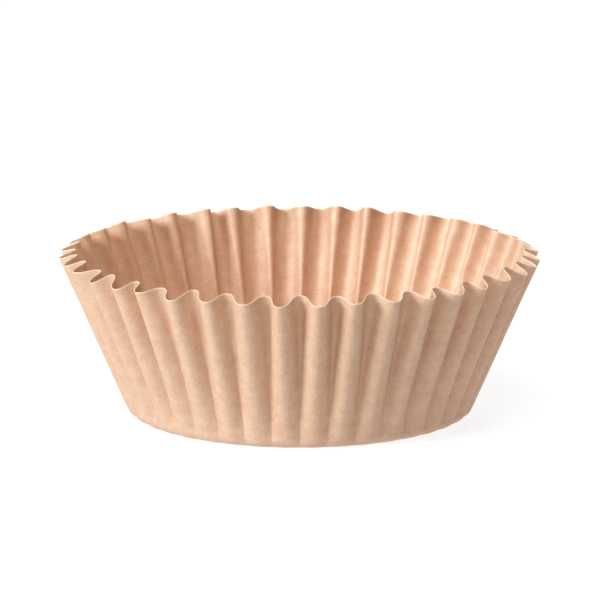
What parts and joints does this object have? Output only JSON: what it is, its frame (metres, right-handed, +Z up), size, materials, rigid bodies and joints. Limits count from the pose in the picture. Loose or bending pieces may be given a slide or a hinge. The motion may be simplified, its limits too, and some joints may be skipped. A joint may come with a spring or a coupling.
{
  "type": "paper baking cup",
  "caption": "Round paper baking cup with a flat base and a fluted wall that leans outwards, open at the top, for holding a cake or muffin as it bakes.",
  "frame": {"origin": "centre of the base's underside, which the cup stands on", "axes": "+Z up along the cup's axis, from the base to the rim; a valley of the wall faces -Y"},
  "size_m": [0.0716, 0.0716, 0.0244],
  "materials": {
    "paper": "unbleached greaseproof paper, satin, slightly translucent"
  },
  "bodies": {
    "root": {"baking_cup": "paper"}
  },
  "joints": []
}
